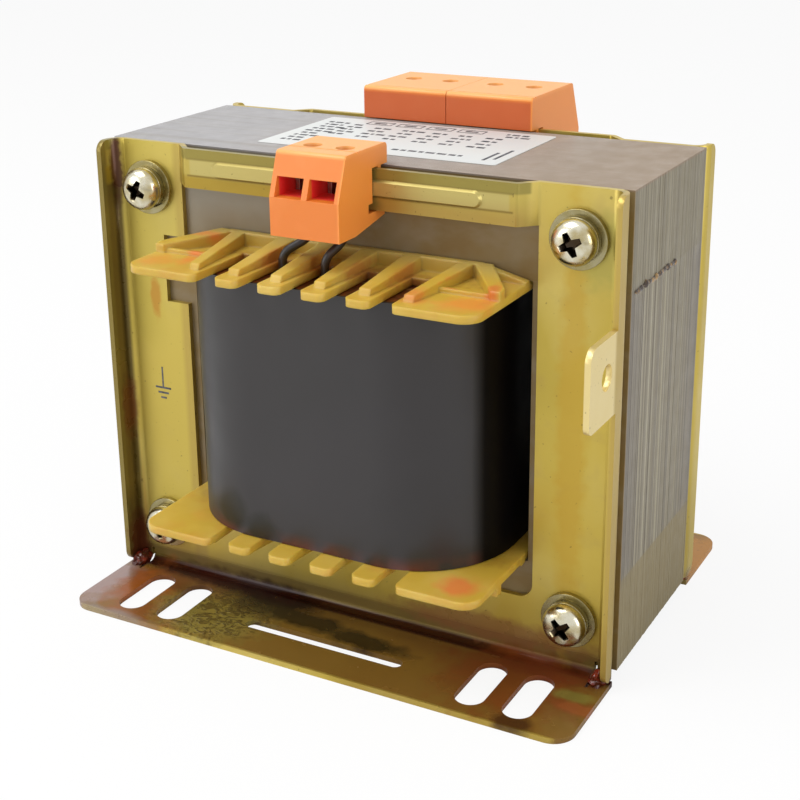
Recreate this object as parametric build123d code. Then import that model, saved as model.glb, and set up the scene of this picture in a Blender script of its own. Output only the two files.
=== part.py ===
from build123d import *
import math
import os

# Laminated chassis transformer, in millimetres
# +X is to the right, the front faces -Y and +Z is up, with z = 0 under the feet

# Core sheets
centre_leg = 50.0
outer_leg = 25.0
window_width = 25.0
window_height = 75.0
yoke_height = 25.0
stack_depth = 54.0
packet_count = 18
core_lift = 3.0
core_bolt_inset = 12.5
sheet_wander = 0.12
cut_past = 1.0
near = 0.1

# Pressed end frames
frame_sheet = 1.5
bend_radius = 3.0
flange_reach = 6.5
flange_foot_gap = 1.0
flange_end_radius = 3.0
strip_width = 23.0
bottom_bar = 15.4
top_bar = 10.5
opening_corner = 4.0
joggle_reach = 4.0
joggle_run = 4.0
joggle_bend = 1.2
rail_overlap = 2.0
bead_height = 4.4
bead_proud = 0.8
bead_end_margin = 9.0
bead_rise = 5.6
bead_taper = 35.0
notch_depth = 7.0
notch_height = 19.0
notch_rise = 80.3
foot_reach = 32.0
foot_bend = 2.0
foot_corner = 6.0
foot_relief_inset = 5.0
foot_relief_width = 0.8
foot_relief_height = 5.0
foot_under_flange = 5.0
slot_width = 8.0
slot_length = 21.0
inner_slot_offset = 46.0
outer_slot_offset = 59.0
slot_from_plate = 17.5
long_slot_length = 48.0
long_slot_width = 4.0
long_slot_from_plate = 19.0
tag_reach = 17.0
tag_height = 20.5
tag_rise = 73.2
tag_top_corner = 3.5
tag_bottom_corner = 2.0
tag_hole = 6.5
tag_hole_reach = 6.5
tag_hole_rise = 11.0

# Clamp bolts and their washers and nuts
bolt_diameter = 6.0
bolt_hole = 6.6
head_diameter = 12.0
head_height = 3.8
head_edge = 2.2
recess_span = 6.8
recess_width = 1.7
recess_depth = 2.2
recess_corner_width = 3.3
recess_taper = 14.0
washer_diameter = 14.8
washer_thickness = 1.5
spring_diameter = 11.6
spring_thickness = 1.7
spring_split = 1.2
spring_split_turn = 140.0
spring_bore_clearance = 0.1
nut_flats = 10.0
nut_height = 5.0
nut_chamfer = 0.8
thread_clearance = 0.05
bolt_end_proud = 2.5
bolt_end_chamfer = 0.6

# Bobbin
bobbin_clearance = 0.3
former_wall = 1.5
bobbin_flange = 2.0
bobbin_side_clearance = 0.6
comb_reach = 31.5
finger_width = 6.6
finger_pitch = 12.4
narrow_fingers = 4
slot_root = 9.0
finger_corner = 2.0
wide_finger_corner = 5.0
collar_wall = 2.2
collar_height = 3.6
collar_half_top = 37.0
collar_gap = 0.4
collar_end_height = 0.6
rib_sink = 0.5
rib_shoulder = 2.0
rib_shoulder_drop = 0.3
rib_end_slope = 1.0
rib_root_width = 5.2
rib_tip_width = 3.0
rib_tip_height = 1.5
rib_tip_inset = 4.0
brace_width = 2.6
brace_reach = 15.0
cross_rib_reach = 13.0
cross_rib_width = 1.4
cross_rib_height = 1.1

# Coil
coil_end_clearance = 0.2
former_corner = 1.0
primary_build = 7.7
insulation_build = 0.8
secondary_build = 9.1
wrap_build = 0.8
face_growth_share = 1.234
corner_growth_share = 1.39

# Two-pole terminal blocks, small at the front and large at the rear
small_width = 19.5
small_pitch = 9.2
small_depth = 17.5
small_top_depth = 13.5
small_over_rail = 5.6
small_knee = 5.2
small_under_rail = 4.5
small_hole_depth = 5.0
small_entry_height = 4.9
small_groove_from_rail = 7.9
large_width = 26.2
large_pitch = 12.0
large_depth = 28.0
large_top_depth = 22.5
large_over_rail = 9.4
large_knee = 6.2
large_under_rail = 6.5
large_hole_depth = 11.0
large_entry_height = 6.2
large_groove_from_rail = -4.6
block_clearance = 0.3
block_back_overhang = 1.0
block_seam = 0.2
block_edge = 1.2
groove_width = 0.5
groove_depth = 0.35
block_underside_share = 0.55
hook_depth = 3.2
hook_wall = 1.5
lip_drop = 2.0
latch_notch = 2.0
pole_wall = 1.6
clamp_wall = 1.2
clamp_length = 5.6
clamp_fit = 0.2
screw_hole = 4.8
screw_head = 4.2
screw_head_height = 1.8
screw_shank = 2.9
screw_set_down = 1.6
screw_slot = 0.8
screw_slot_depth = 0.8
screw_tip_reach = 0.5
screw_turn = 35.0

# Leads and label
lead_diameter = 2.2
lead_hole_clearance = 0.5
lead_straight_below = 2.0
lead_straight_above = 5.5
lead_slot_inset = 5.0
lead_arc_share = 0.45
label_width = 70.0
label_depth = 40.0
label_thickness = 0.15
label_corner = 1.0
label_centre_y = 3.0

# Places worked out from the sizes above
core_width = centre_leg + 2 * (window_width + outer_leg)
core_height = window_height + 2 * yoke_height
core_top = core_lift + core_height
core_face = stack_depth / 2
plate_front = core_face + frame_sheet
window_bottom = core_lift + yoke_height
window_top = window_bottom + window_height
core_middle = core_lift + core_height / 2
half_width = core_width / 2
opening_half = half_width - strip_width
rail_bottom = core_top - top_bar
rail_front = plate_front + joggle_reach
foot_front = plate_front + foot_reach
bolt_x = half_width - core_bolt_inset
bolt_heights = (core_lift + core_bolt_inset, core_top - core_bolt_inset)
bolt_places = [(side * bolt_x, height) for side in (-1, 1) for height in bolt_heights]


def block_between(low, high):
    """A box from its lowest to its highest corner."""
    size = [b - a for a, b in zip(low, high)]
    middle = [(a + b) / 2 for a, b in zip(low, high)]
    return Pos(*middle) * Box(*size)


def plan_prism(points, low, high):
    """A flat outline in X and Y, raised from one height to another."""
    face = make_face(Polyline(*points, close=True))
    return Pos(0, 0, low) * extrude(face, amount=high - low)


def side_prism(points, low, high):
    """An outline in Y and Z, carried from one X to another."""
    face = make_face(Polyline(*[(0, y, z) for y, z in points], close=True))
    return Pos(low, 0, 0) * extrude(face, amount=high - low, dir=(1, 0, 0))


def rod_along_y(x, z, start, end, radius):
    """A round rod along Y between two places."""
    middle = (start + end) / 2
    return Pos(x, middle, z) * Rot(90, 0, 0) * Cylinder(radius, abs(end - start))


# Core

def packet_wander(index):
    """How far one packet of sheets sits off the true line, in X and downwards."""
    sideways = sheet_wander * math.sin(2.4 * index)
    down = sheet_wander * (0.5 + 0.5 * math.sin(1.7 * index + 1.0))
    return sideways, down


def e_outline():
    """An E sheet with its yoke at the bottom and its three legs up."""
    leg_centre = centre_leg / 2 + window_width + outer_leg / 2
    yoke = Pos(0, yoke_height / 2) * Rectangle(core_width, yoke_height)
    leg_middle = yoke_height + window_height / 2
    legs = Pos(0, leg_middle) * Rectangle(centre_leg, window_height)
    for side in (-1, 1):
        legs += Pos(side * leg_centre, leg_middle) * Rectangle(outer_leg, window_height)
    outline = yoke + legs
    for side in (-1, 1):
        outline -= Pos(side * bolt_x, core_bolt_inset) * Circle(bolt_hole / 2)
    return outline


def i_outline():
    """An I sheet that closes the open ends of an E."""
    outline = Pos(0, yoke_height / 2) * Rectangle(core_width, yoke_height)
    for side in (-1, 1):
        outline -= Pos(side * bolt_x, yoke_height - core_bolt_inset) * Circle(bolt_hole / 2)
    return outline


def packet(outline, index, upside_down, base):
    """One packet of like sheets, standing in the stack at its own place."""
    thickness = stack_depth / packet_count
    start = -core_face + index * thickness
    sideways, down = packet_wander(index)
    solid = Rot(90, 0, 0) * extrude(outline, amount=thickness)
    if upside_down:
        solid = Rot(0, 180, 0) * solid
    return Pos(sideways, start + thickness, base - down) * solid


def core_nodes():
    """E and I packets, laid alternately with the E legs up and down."""
    e_up, e_down, i_top, i_bottom = [], [], [], []
    for index in range(packet_count):
        if index % 2 == 0:
            e_up.append(packet(e_outline(), index, False, core_lift))
            i_top.append(packet(i_outline(), index, False, window_top))
        else:
            e_down.append(packet(e_outline(), index, True, core_top))
            i_bottom.append(packet(i_outline(), index, True, window_bottom))
    return {
        "e_sheets_legs_up": e_up,
        "e_sheets_legs_down": e_down,
        "i_sheets_top": i_top,
        "i_sheets_bottom": i_bottom,
    }


# End frames

def channel():
    """The face plate with its two side flanges bent forward."""
    outer_bend = bend_radius + frame_sheet
    flange_front = plate_front + flange_reach
    outer = Pos(0, -(core_face + flange_front) / 2) * Rectangle(core_width, flange_front - core_face)
    outer = fillet(outer.vertices().group_by(Axis.Y)[-1], outer_bend)
    inner_width = core_width - 2 * frame_sheet
    inner_middle = -(plate_front + flange_front + cut_past) / 2
    inner = Pos(0, inner_middle) * Rectangle(inner_width, flange_reach + cut_past)
    inner = fillet(inner.vertices().group_by(Axis.Y)[-1], bend_radius)
    bottom = frame_sheet + flange_foot_gap
    solid = Pos(0, 0, bottom) * extrude(outer - inner, amount=core_top - bottom)
    front_ends = solid.edges().filter_by(Axis.X).group_by(Axis.Y)[0]
    return fillet(front_ends, flange_end_radius)


def joggled_rail():
    """The top bar, set forward of the plate so that terminal blocks clip on it."""
    turn = math.atan2(joggle_reach, joggle_run)
    shift = frame_sheet * math.tan(turn / 2)
    inner = opening_half - joggle_run
    end = opening_half + rail_overlap
    front = [
        (-end, -plate_front),
        (-opening_half, -plate_front),
        (-inner, -rail_front),
        (inner, -rail_front),
        (opening_half, -plate_front),
        (end, -plate_front),
    ]
    back = [
        (end, -core_face),
        (opening_half - shift, -core_face),
        (inner - shift, frame_sheet - rail_front),
        (shift - inner, frame_sheet - rail_front),
        (shift - opening_half, -core_face),
        (-end, -core_face),
    ]
    face = make_face(Polyline(*front, *back, close=True))
    bends = [v for v in face.vertices() if abs(v.X) < end - near]
    face = fillet(bends, joggle_bend)
    rail = Pos(0, 0, rail_bottom) * extrude(face, amount=top_bar)
    length = 2 * (inner - bead_end_margin)
    bead = extrude(SlotOverall(length, bead_height), amount=bead_proud, taper=bead_taper)
    place = Pos(0, -rail_front, rail_bottom + bead_rise) * Rot(90, 0, 0)
    hollow = Pos(0, frame_sheet, 0) * place * bead
    return rail + place * bead - hollow


def foot():
    """The foot, bent forward under the plate, with its round corners and slots."""
    outer_bend = foot_bend + frame_sheet
    top = core_lift + bottom_bar
    reach = foot_front - core_face
    outer = Pos(-core_face - reach / 2, top / 2) * Rectangle(reach, top)
    outer = fillet(outer.vertices().sort_by(Axis.Y)[:2].sort_by(Axis.X)[-1], outer_bend)
    inner = Pos(-plate_front - reach / 2, frame_sheet + top / 2) * Rectangle(reach, top)
    inner = fillet(inner.vertices().sort_by(Axis.Y)[:2].sort_by(Axis.X)[-1], foot_bend)
    profile = Plane.YZ * (outer - inner)
    half = half_width - foot_relief_inset
    bent = Pos(-half, 0, 0) * extrude(profile, amount=2 * half)
    toe_back = plate_front + flange_reach - foot_under_flange
    toe = block_between((-half_width, -foot_front, 0), (half_width, -toe_back, frame_sheet))
    solid = bent + toe
    corners = [e for e in solid.edges().filter_by(Axis.Z) if abs(e.center().X) > half_width - near]
    corners = [e for e in corners if e.center().Y < near - foot_front]
    solid = fillet(corners, foot_corner)
    slot_y = -plate_front - slot_from_plate
    for offset in (inner_slot_offset, outer_slot_offset):
        for side in (-1, 1):
            slot = extrude(Rot(0, 0, 90) * SlotOverall(slot_length, slot_width), amount=2 * frame_sheet)
            solid -= Pos(side * offset, slot_y, -frame_sheet / 2) * slot
    long_slot = extrude(SlotOverall(long_slot_length, long_slot_width), amount=2 * frame_sheet)
    return solid - Pos(0, -plate_front - long_slot_from_plate, -frame_sheet / 2) * long_slot


def plate_opening():
    """What is cut out of the face plate: the coil's opening and the notch beside it."""
    bottom = core_lift + bottom_bar
    height = core_top - bottom + cut_past
    outline = Pos(0, bottom + height / 2) * Rectangle(2 * opening_half, height)
    outline = fillet(outline.vertices().group_by(Axis.Y)[0], opening_corner)
    notch_middle = core_lift + notch_rise + notch_height / 2
    outline += Pos(-opening_half, notch_middle) * Rectangle(2 * notch_depth, notch_height)
    through = extrude(outline, amount=frame_sheet + 2 * cut_past)
    return Pos(0, -core_face + cut_past, 0) * Rot(90, 0, 0) * through


def earth_tag():
    """The earthing tag, flat with the right flange, with its hole."""
    back = plate_front + bend_radius
    front = plate_front + flange_reach + tag_reach
    low = core_lift + tag_rise
    outline = Pos(-(back + front) / 2, low + tag_height / 2) * Rectangle(front - back, tag_height)
    tips = outline.vertices().group_by(Axis.X)[0].sort_by(Axis.Y)
    outline = fillet(tips[-1], tag_top_corner)
    outline = fillet(outline.vertices().sort_by(Axis.Y)[:2].sort_by(Axis.X)[0], tag_bottom_corner)
    hole_y = -plate_front - flange_reach - tag_hole_reach
    outline -= Pos(hole_y, low + tag_hole_rise) * Circle(tag_hole / 2)
    return Pos(half_width - frame_sheet, 0, 0) * extrude(Plane.YZ * outline, amount=frame_sheet)


def front_frame():
    """The whole front pressing, in one piece."""
    solid = channel() + foot()
    for side in (-1, 1):
        middle = side * (half_width - foot_relief_inset)
        low = (middle - foot_relief_width / 2, -rail_front - bend_radius, -cut_past)
        high = (middle + foot_relief_width / 2, -core_face + cut_past, foot_relief_height)
        solid -= block_between(low, high)
    solid -= plate_opening()
    solid += joggled_rail()
    solid += earth_tag()
    for x, z in bolt_places:
        solid -= rod_along_y(x, z, -core_face + cut_past, -plate_front - cut_past, bolt_hole / 2)
    return solid


# Clamp bolts

def washer_seat():
    """The place of the front face of the flat washer."""
    return plate_front + washer_thickness


def clamp_bolt(x, z):
    """A pan-head screw with a cross recess, right through the core."""
    under_head = washer_seat() + spring_thickness
    far_end = plate_front + washer_thickness + nut_height + bolt_end_proud
    head = Cylinder(head_diameter / 2, head_height, align=(Align.CENTER, Align.CENTER, Align.MIN))
    head = fillet(head.edges().group_by(Axis.Z)[-1], head_edge)
    arms = Rectangle(recess_span, recess_width) + Rectangle(recess_width, recess_span)
    arms += Rot(0, 0, 45) * Rectangle(recess_corner_width, recess_corner_width)
    recess = extrude(arms, amount=-recess_depth, taper=recess_taper)
    head -= Pos(0, 0, head_height) * recess
    length = under_head + far_end
    shank = Cylinder(bolt_diameter / 2, length, align=(Align.CENTER, Align.CENTER, Align.MAX))
    shank = chamfer(shank.edges().group_by(Axis.Z)[0], bolt_end_chamfer)
    return Pos(x, -under_head, z) * Rot(90, 0, 0) * (head + shank)


def flat_washer(x, z, back):
    """A flat washer whose rear face is at one place in Y."""
    ring = rod_along_y(x, z, back, back - washer_thickness, washer_diameter / 2)
    return ring - rod_along_y(x, z, back + cut_past, back - washer_thickness - cut_past, bolt_hole / 2)


def spring_washer(x, z):
    """A split lock washer, pressed flat under a bolt head."""
    back = -washer_seat()
    front = back - spring_thickness
    bore = bolt_diameter / 2 + spring_bore_clearance
    ring = rod_along_y(x, z, back, front, spring_diameter / 2)
    ring -= rod_along_y(x, z, back + cut_past, front - cut_past, bore)
    low = (-spring_split / 2, front - cut_past, 0)
    high = (spring_split / 2, back + cut_past, spring_diameter)
    return ring - Pos(x, 0, z) * Rot(0, spring_split_turn, 0) * block_between(low, high)


def hex_nut(x, z):
    """A hexagon nut with both faces chamfered."""
    seat = plate_front + washer_thickness
    radius = nut_flats / math.sqrt(3)
    prism = extrude(RegularPolygon(radius, 6), amount=nut_height)
    barrel = Cylinder(radius, nut_height, align=(Align.CENTER, Align.CENTER, Align.MIN))
    barrel = chamfer(barrel.edges().filter_by(GeomType.CIRCLE), nut_chamfer)
    nut = prism & barrel
    nut -= Cylinder(bolt_diameter / 2 + thread_clearance, 2 * nut_height + cut_past)
    return Pos(x, seat + nut_height, z) * Rot(90, 0, 0) * nut


def fastener_nodes():
    """The four clamp bolts with their washers and nuts."""
    return {
        "clamp_bolts": [clamp_bolt(x, z) for x, z in bolt_places],
        "front_flat_washers": [flat_washer(x, z, -plate_front) for x, z in bolt_places],
        "spring_washers": [spring_washer(x, z) for x, z in bolt_places],
        "rear_flat_washers": [flat_washer(x, z, washer_seat()) for x, z in bolt_places],
        "hex_nuts": [hex_nut(x, z) for x, z in bolt_places],
    }


# Bobbin

former_half_x = centre_leg / 2 + bobbin_clearance + former_wall
former_half_y = core_face + bobbin_clearance + former_wall
bobbin_half = centre_leg / 2 + window_width - bobbin_side_clearance
bobbin_top = window_top - bobbin_clearance
comb_front = core_face + comb_reach
slot_gap = finger_pitch - finger_width
slot_offsets = [finger_pitch * (i - narrow_fingers / 2) for i in range(narrow_fingers + 1)]
finger_offsets = [finger_pitch * (i - (narrow_fingers - 1) / 2) for i in range(narrow_fingers)]
wide_inner = slot_offsets[-1] + slot_gap / 2
collar_back = core_face + collar_gap
collar_front = collar_back + collar_wall
collar_top = bobbin_top + collar_height


def comb_plate():
    """One flat flange with comb fingers on its front and rear edges."""
    outline = Rectangle(2 * bobbin_half, 2 * comb_front)
    root = core_face + slot_root
    for offset in slot_offsets:
        for side in (-1, 1):
            middle = side * (root + comb_front + cut_past) / 2
            outline -= Pos(offset, middle) * Rectangle(slot_gap, comb_front + cut_past - root)
    tips = [v for v in outline.vertices() if abs(v.Y) > comb_front - near]
    inner_tips = [v for v in tips if abs(v.X) < bobbin_half - near]
    outline = fillet(inner_tips, finger_corner)
    corners = [v for v in outline.vertices() if abs(v.X) > bobbin_half - near]
    outline = fillet(corners, wide_finger_corner)
    inner_x = former_half_x - former_wall
    inner_y = former_half_y - former_wall
    outline -= Rectangle(2 * inner_x, 2 * inner_y)
    return Pos(0, 0, bobbin_top - bobbin_flange) * extrude(outline, amount=bobbin_flange)


def rib_profile(width_low, width_high):
    """The side of a rib, high at the collar and low towards the finger's tip."""
    tip = comb_front - rib_tip_inset
    points = [
        (-collar_back - rib_sink, bobbin_top - rib_sink),
        (-collar_back - rib_sink, collar_top),
        (-collar_front - rib_shoulder, collar_top - rib_shoulder_drop),
        (-tip + rib_end_slope, bobbin_top + rib_tip_height),
        (-tip, bobbin_top - rib_sink),
    ]
    return side_prism(points, width_low, width_high)


def finger_rib(offset):
    """The tapered rib along one narrow finger."""
    tip = comb_front - rib_tip_inset
    plan = [
        (offset - rib_root_width / 2, -collar_back),
        (offset + rib_root_width / 2, -collar_back),
        (offset + rib_tip_width / 2, -tip),
        (offset - rib_tip_width / 2, -tip),
    ]
    prism = plan_prism(plan, bobbin_top - rib_sink, collar_top)
    return prism & rib_profile(offset - rib_root_width, offset + rib_root_width)


def wide_finger_ribs(side):
    """The A-shaped ribs on one wide end finger."""
    apex = collar_half_top - brace_width
    tip = comb_front - rib_tip_inset
    inner_tip = wide_inner + brace_width / 2
    brace_end = collar_front + brace_reach
    inner_leg = [
        (apex - brace_width, -collar_back),
        (apex + brace_width / 2, -collar_back),
        (inner_tip + brace_width, -tip),
        (inner_tip, -tip),
    ]
    outer_leg_plan = [
        (apex, -collar_back),
        (collar_half_top + brace_width, -collar_back),
        (bobbin_half, -brace_end + brace_width),
        (bobbin_half, -brace_end),
        (bobbin_half - brace_width, -brace_end),
    ]
    cross_y = -collar_front - cross_rib_reach
    ribs = plan_prism(inner_leg, bobbin_top - rib_sink, collar_top)
    ribs += plan_prism(outer_leg_plan, bobbin_top - rib_sink, collar_top)
    ribs = ribs & rib_profile(wide_inner, bobbin_half)
    cross_low = (apex - brace_width / 2, cross_y - cross_rib_width, bobbin_top - rib_sink)
    cross_high = (bobbin_half - brace_width / 2, cross_y, bobbin_top + cross_rib_height)
    ribs += block_between(cross_low, cross_high)
    if side < 0:
        ribs = mirror(ribs, about=Plane.YZ)
    return ribs


def comb_detail():
    """The collar beside the yoke and the ribs on the front fingers of the top flange."""
    collar = [
        (-bobbin_half, bobbin_top - rib_sink),
        (-bobbin_half, bobbin_top + collar_end_height),
        (-collar_half_top, collar_top),
        (collar_half_top, collar_top),
        (bobbin_half, bobbin_top + collar_end_height),
        (bobbin_half, bobbin_top - rib_sink),
    ]
    face = make_face(Polyline(*[(x, 0, z) for x, z in collar], close=True))
    detail = Pos(0, -collar_back, 0) * extrude(face, amount=collar_wall, dir=(0, -1, 0))
    for offset in finger_offsets:
        detail += finger_rib(offset)
    for side in (-1, 1):
        detail += wide_finger_ribs(side)
    return detail


def bobbin():
    """The winding former with its two comb flanges, in one moulding."""
    front = comb_detail()
    half = comb_plate() + front + mirror(front, about=Plane.XZ)
    middle = Plane.XY.offset(core_middle)
    tube = Rectangle(2 * former_half_x, 2 * former_half_y)
    tube = fillet(tube.vertices(), former_corner)
    tube -= Rectangle(2 * (former_half_x - former_wall), 2 * (former_half_y - former_wall))
    height = 2 * (bobbin_top - core_middle)
    wall = Pos(0, 0, core_middle - height / 2) * extrude(tube, amount=height)
    return wall + half + mirror(half, about=middle)


# Coil

def coil_outline(build):
    """The outline of the coil when it has grown by so much on its former's sides, and more on its faces."""
    outline = Rectangle(2 * (former_half_x + build), 2 * (former_half_y + face_growth_share * build))
    return fillet(outline.vertices(), former_corner + corner_growth_share * build)


def coil_layer(start, end):
    """A closed ring of winding or tape between two stages of the coil's growth."""
    low = 2 * core_middle - bobbin_top + bobbin_flange + coil_end_clearance
    high = bobbin_top - bobbin_flange - coil_end_clearance
    ring = coil_outline(end) - coil_outline(start)
    return Pos(0, 0, low) * extrude(ring, amount=high - low)


def coil_nodes():
    """Primary, insulation, secondary and the black outer wrap."""
    stages = [0.0]
    for build in (primary_build, insulation_build, secondary_build, wrap_build):
        stages.append(stages[-1] + build)
    names = ("primary_winding", "winding_insulation", "secondary_winding", "coil_wrap")
    return {name: coil_layer(stages[i], stages[i + 1]) for i, name in enumerate(names)}


# Terminal blocks

class BlockSize:
    """The sizes of one kind of terminal block, in its own frame.

    Depth runs forward from the front of the rail, and height upwards from the rail's lower edge.
    """

    def __init__(self, width, pitch, depth, top_depth, over, knee, under, hole, entry, groove):
        self.width = width
        self.pitch = pitch
        self.depth = depth
        self.top_depth = top_depth
        self.top = top_bar + over
        self.knee = knee
        self.under = under
        self.hole = hole
        self.entry = entry
        self.groove = groove
        self.pole = pitch - pole_wall
        self.back = bead_proud + block_clearance
        self.clamp_low = knee - clamp_wall - clamp_fit
        self.clamp_high = knee + entry + clamp_wall + clamp_fit
        self.clamp_back = hole - clamp_length / 2
        self.clamp_front = hole + clamp_length / 2


small_block = BlockSize(small_width, small_pitch, small_depth, small_top_depth, small_over_rail,
                        small_knee, small_under_rail, small_hole_depth, small_entry_height,
                        small_groove_from_rail)
large_block = BlockSize(large_width, large_pitch, large_depth, large_top_depth, large_over_rail,
                        large_knee, large_under_rail, large_hole_depth, large_entry_height,
                        large_groove_from_rail)


def box_in_block(x_low, x_high, depth_low, depth_high, height_low, height_high):
    """A box given by depth from the rail and height over the rail's lower edge."""
    low = (x_low, -depth_high, height_low)
    high = (x_high, -depth_low, height_high)
    return block_between(low, high)


def block_poles(size):
    """The X of the two poles of a block."""
    return (-size.pitch / 2, size.pitch / 2)


def block_housing(size):
    """The moulded housing, hooked over the rail and under its lower edge."""
    rail_back = -frame_sheet - block_clearance
    over = top_bar + block_clearance
    core_side = -(rail_front - core_face) - block_back_overhang
    outline = [
        (-size.top_depth, size.top),
        (-size.depth, size.knee),
        (-size.depth, -size.under),
        (-size.depth * block_underside_share, -size.under),
        (-core_side - hook_wall, -lip_drop),
        (-core_side - hook_wall, -block_clearance),
        (-size.back - latch_notch, -block_clearance),
        (-size.back - latch_notch, latch_notch),
        (-size.back, latch_notch),
        (-size.back, over),
        (-rail_back, over),
        (-rail_back, over - hook_depth),
        (-rail_back + hook_wall, over - hook_depth),
        (-rail_back + hook_wall, over),
        (-core_side, over),
        (-core_side, size.top),
    ]
    half = size.width / 2
    housing = side_prism(outline, -half, half)
    top_edges = [e for e in housing.edges().filter_by(Axis.X) if e.center().Z > size.top - near]
    housing = fillet(top_edges, block_edge)
    housing -= box_in_block(-half - cut_past, half + cut_past, size.groove, size.groove + groove_width,
                            size.top - groove_depth, size.top + cut_past)
    for x in block_poles(size):
        pole = size.pole / 2
        entry = box_in_block(x - pole, x + pole, size.hole, size.depth + cut_past,
                             size.knee, size.knee + size.entry)
        chamber = box_in_block(x - pole, x + pole, size.clamp_back - clamp_fit, size.clamp_front + clamp_fit,
                               size.clamp_low - clamp_fit, size.clamp_high + clamp_fit)
        housing -= entry + chamber
        drop = Cylinder(screw_hole / 2, size.top, align=(Align.CENTER, Align.CENTER, Align.MIN))
        housing -= Pos(x, -size.hole, size.knee) * drop
        lead_way = Cylinder(lead_diameter / 2 + lead_hole_clearance, size.knee + size.under + cut_past,
                            align=(Align.CENTER, Align.CENTER, Align.MAX))
        housing -= Pos(x, -size.hole, size.knee) * lead_way
    return housing


def clamp_cage(size, x):
    """One clamp cage, open from front to back, with a threaded hole in its top."""
    half = size.pole / 2 - clamp_fit
    cage = box_in_block(x - half, x + half, size.clamp_back, size.clamp_front,
                        size.clamp_low, size.clamp_high)
    inner = half - clamp_wall
    cage -= box_in_block(x - inner, x + inner, size.clamp_back - cut_past, size.clamp_front + cut_past,
                         size.clamp_low + clamp_wall, size.clamp_high - clamp_wall)
    thread = Cylinder(screw_shank / 2 + thread_clearance, 2 * clamp_wall)
    return cage - Pos(x, -size.hole, size.clamp_high) * thread


def terminal_screw(size, x):
    """A slotted screw, set down in its hole and reaching into the clamp cage."""
    head_top = size.top - screw_set_down
    head = Cylinder(screw_head / 2, screw_head_height, align=(Align.CENTER, Align.CENTER, Align.MAX))
    slot = Box(screw_head + cut_past, screw_slot, 2 * screw_slot_depth)
    tip = size.clamp_high - clamp_wall - screw_tip_reach
    shank = Cylinder(screw_shank / 2, head_top - tip, align=(Align.CENTER, Align.CENTER, Align.MAX))
    screw = head + shank - Rot(0, 0, screw_turn) * slot
    return Pos(x, -size.hole, head_top) * screw


def block_solids(size):
    """The housing, clamp cages and screws of one block."""
    cages = [clamp_cage(size, x) for x in block_poles(size)]
    screws = [terminal_screw(size, x) for x in block_poles(size)]
    return {"housing": [block_housing(size)], "clamps": cages, "screws": screws}


def terminal_nodes():
    """The small block on the front rail and two large blocks on the rear rail."""
    nodes = {}
    on_front_rail = Pos(0, -rail_front, rail_bottom)
    apart = (large_width + block_seam) / 2
    places = {
        "front_terminal": (small_block, on_front_rail),
        "rear_left_terminal": (large_block, Rot(0, 0, 180) * Pos(apart, 0, 0) * on_front_rail),
        "rear_right_terminal": (large_block, Rot(0, 0, 180) * Pos(-apart, 0, 0) * on_front_rail),
    }
    for name, (size, place) in places.items():
        for kind, solids in block_solids(size).items():
            nodes[name + "_" + kind] = [place * solid for solid in solids]
    return nodes


# Leads

def lead_route(size, x, slot_x, face):
    """The points of one lead, from under its clamp cage down to the coil."""
    block_y = rail_front + size.hole
    start = rail_bottom + size.clamp_low
    coil_top = bobbin_top - bobbin_flange - coil_end_clearance
    slot_y = core_face + slot_root + lead_slot_inset
    points = [
        (x, -block_y, start),
        (x, -block_y, rail_bottom - size.under - lead_straight_below),
        (slot_x, -slot_y, coil_top + lead_straight_above),
        (slot_x, -slot_y, coil_top),
    ]
    if face > 0:
        points = [(-px, -py, pz) for px, py, pz in points]
    return points


def lead_tube(name, points):
    """A tube of straight runs joined by tangent arcs, as large as the runs allow."""
    corners = [Vector(*p) for p in points]
    radii = []
    for before, at, after in zip(corners, corners[1:], corners[2:]):
        turn = math.radians((at - before).get_angle(after - at))
        run = min((at - before).length, (after - at).length)
        radii.append(lead_arc_share * run / math.tan(turn / 2))
    path = FilletPolyline(*corners, radius=radii)
    section = Plane(origin=corners[0], z_dir=corners[1] - corners[0]) * Circle(lead_diameter / 2)
    print(name, "length", round(path.length, 1), "radii", [round(r, 1) for r in radii])
    return sweep(section, path=path)


def lead_nodes():
    """Two leads at the front and four at the rear, each from a clamp to a comb slot."""
    slots = slot_offsets
    small = small_pitch / 2
    left = (large_width + block_seam) / 2
    inner = left - large_pitch / 2
    outer = left + large_pitch / 2
    routes = {
        "front_lead_left": (small_block, -small, slots[1], -1),
        "front_lead_right": (small_block, small, slots[2], -1),
        "rear_lead_outer_left": (large_block, outer, slots[4], 1),
        "rear_lead_inner_left": (large_block, inner, slots[3], 1),
        "rear_lead_inner_right": (large_block, -inner, slots[1], 1),
        "rear_lead_outer_right": (large_block, -outer, slots[0], 1),
    }
    return {name: lead_tube(name, lead_route(*route)) for name, route in routes.items()}


def rating_label():
    """The plain label on top of the core."""
    outline = fillet(Rectangle(label_width, label_depth).vertices(), label_corner)
    return Pos(0, label_centre_y, core_top) * extrude(outline, amount=label_thickness)


def all_nodes():
    """Every node of the transformer by name, each a solid or a list of solids."""
    frame = front_frame()
    nodes = {"front_frame": frame, "rear_frame": Rot(0, 0, 180) * frame}
    nodes.update(core_nodes())
    nodes["bobbin"] = bobbin()
    nodes.update(coil_nodes())
    nodes.update(fastener_nodes())
    nodes.update(terminal_nodes())
    nodes.update(lead_nodes())
    nodes["rating_label"] = rating_label()
    return nodes


os.makedirs("parts", exist_ok=True)
for node_name, shape in all_nodes().items():
    if isinstance(shape, list):
        shape = Compound(children=[s.solid() for s in shape]) if len(shape) > 1 else shape[0]
    export_step(shape, "parts/" + node_name + ".step")
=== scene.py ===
"""Finish of a laminated chassis transformer: core sheets, frames, bobbin, coil, terminals and label."""

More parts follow.
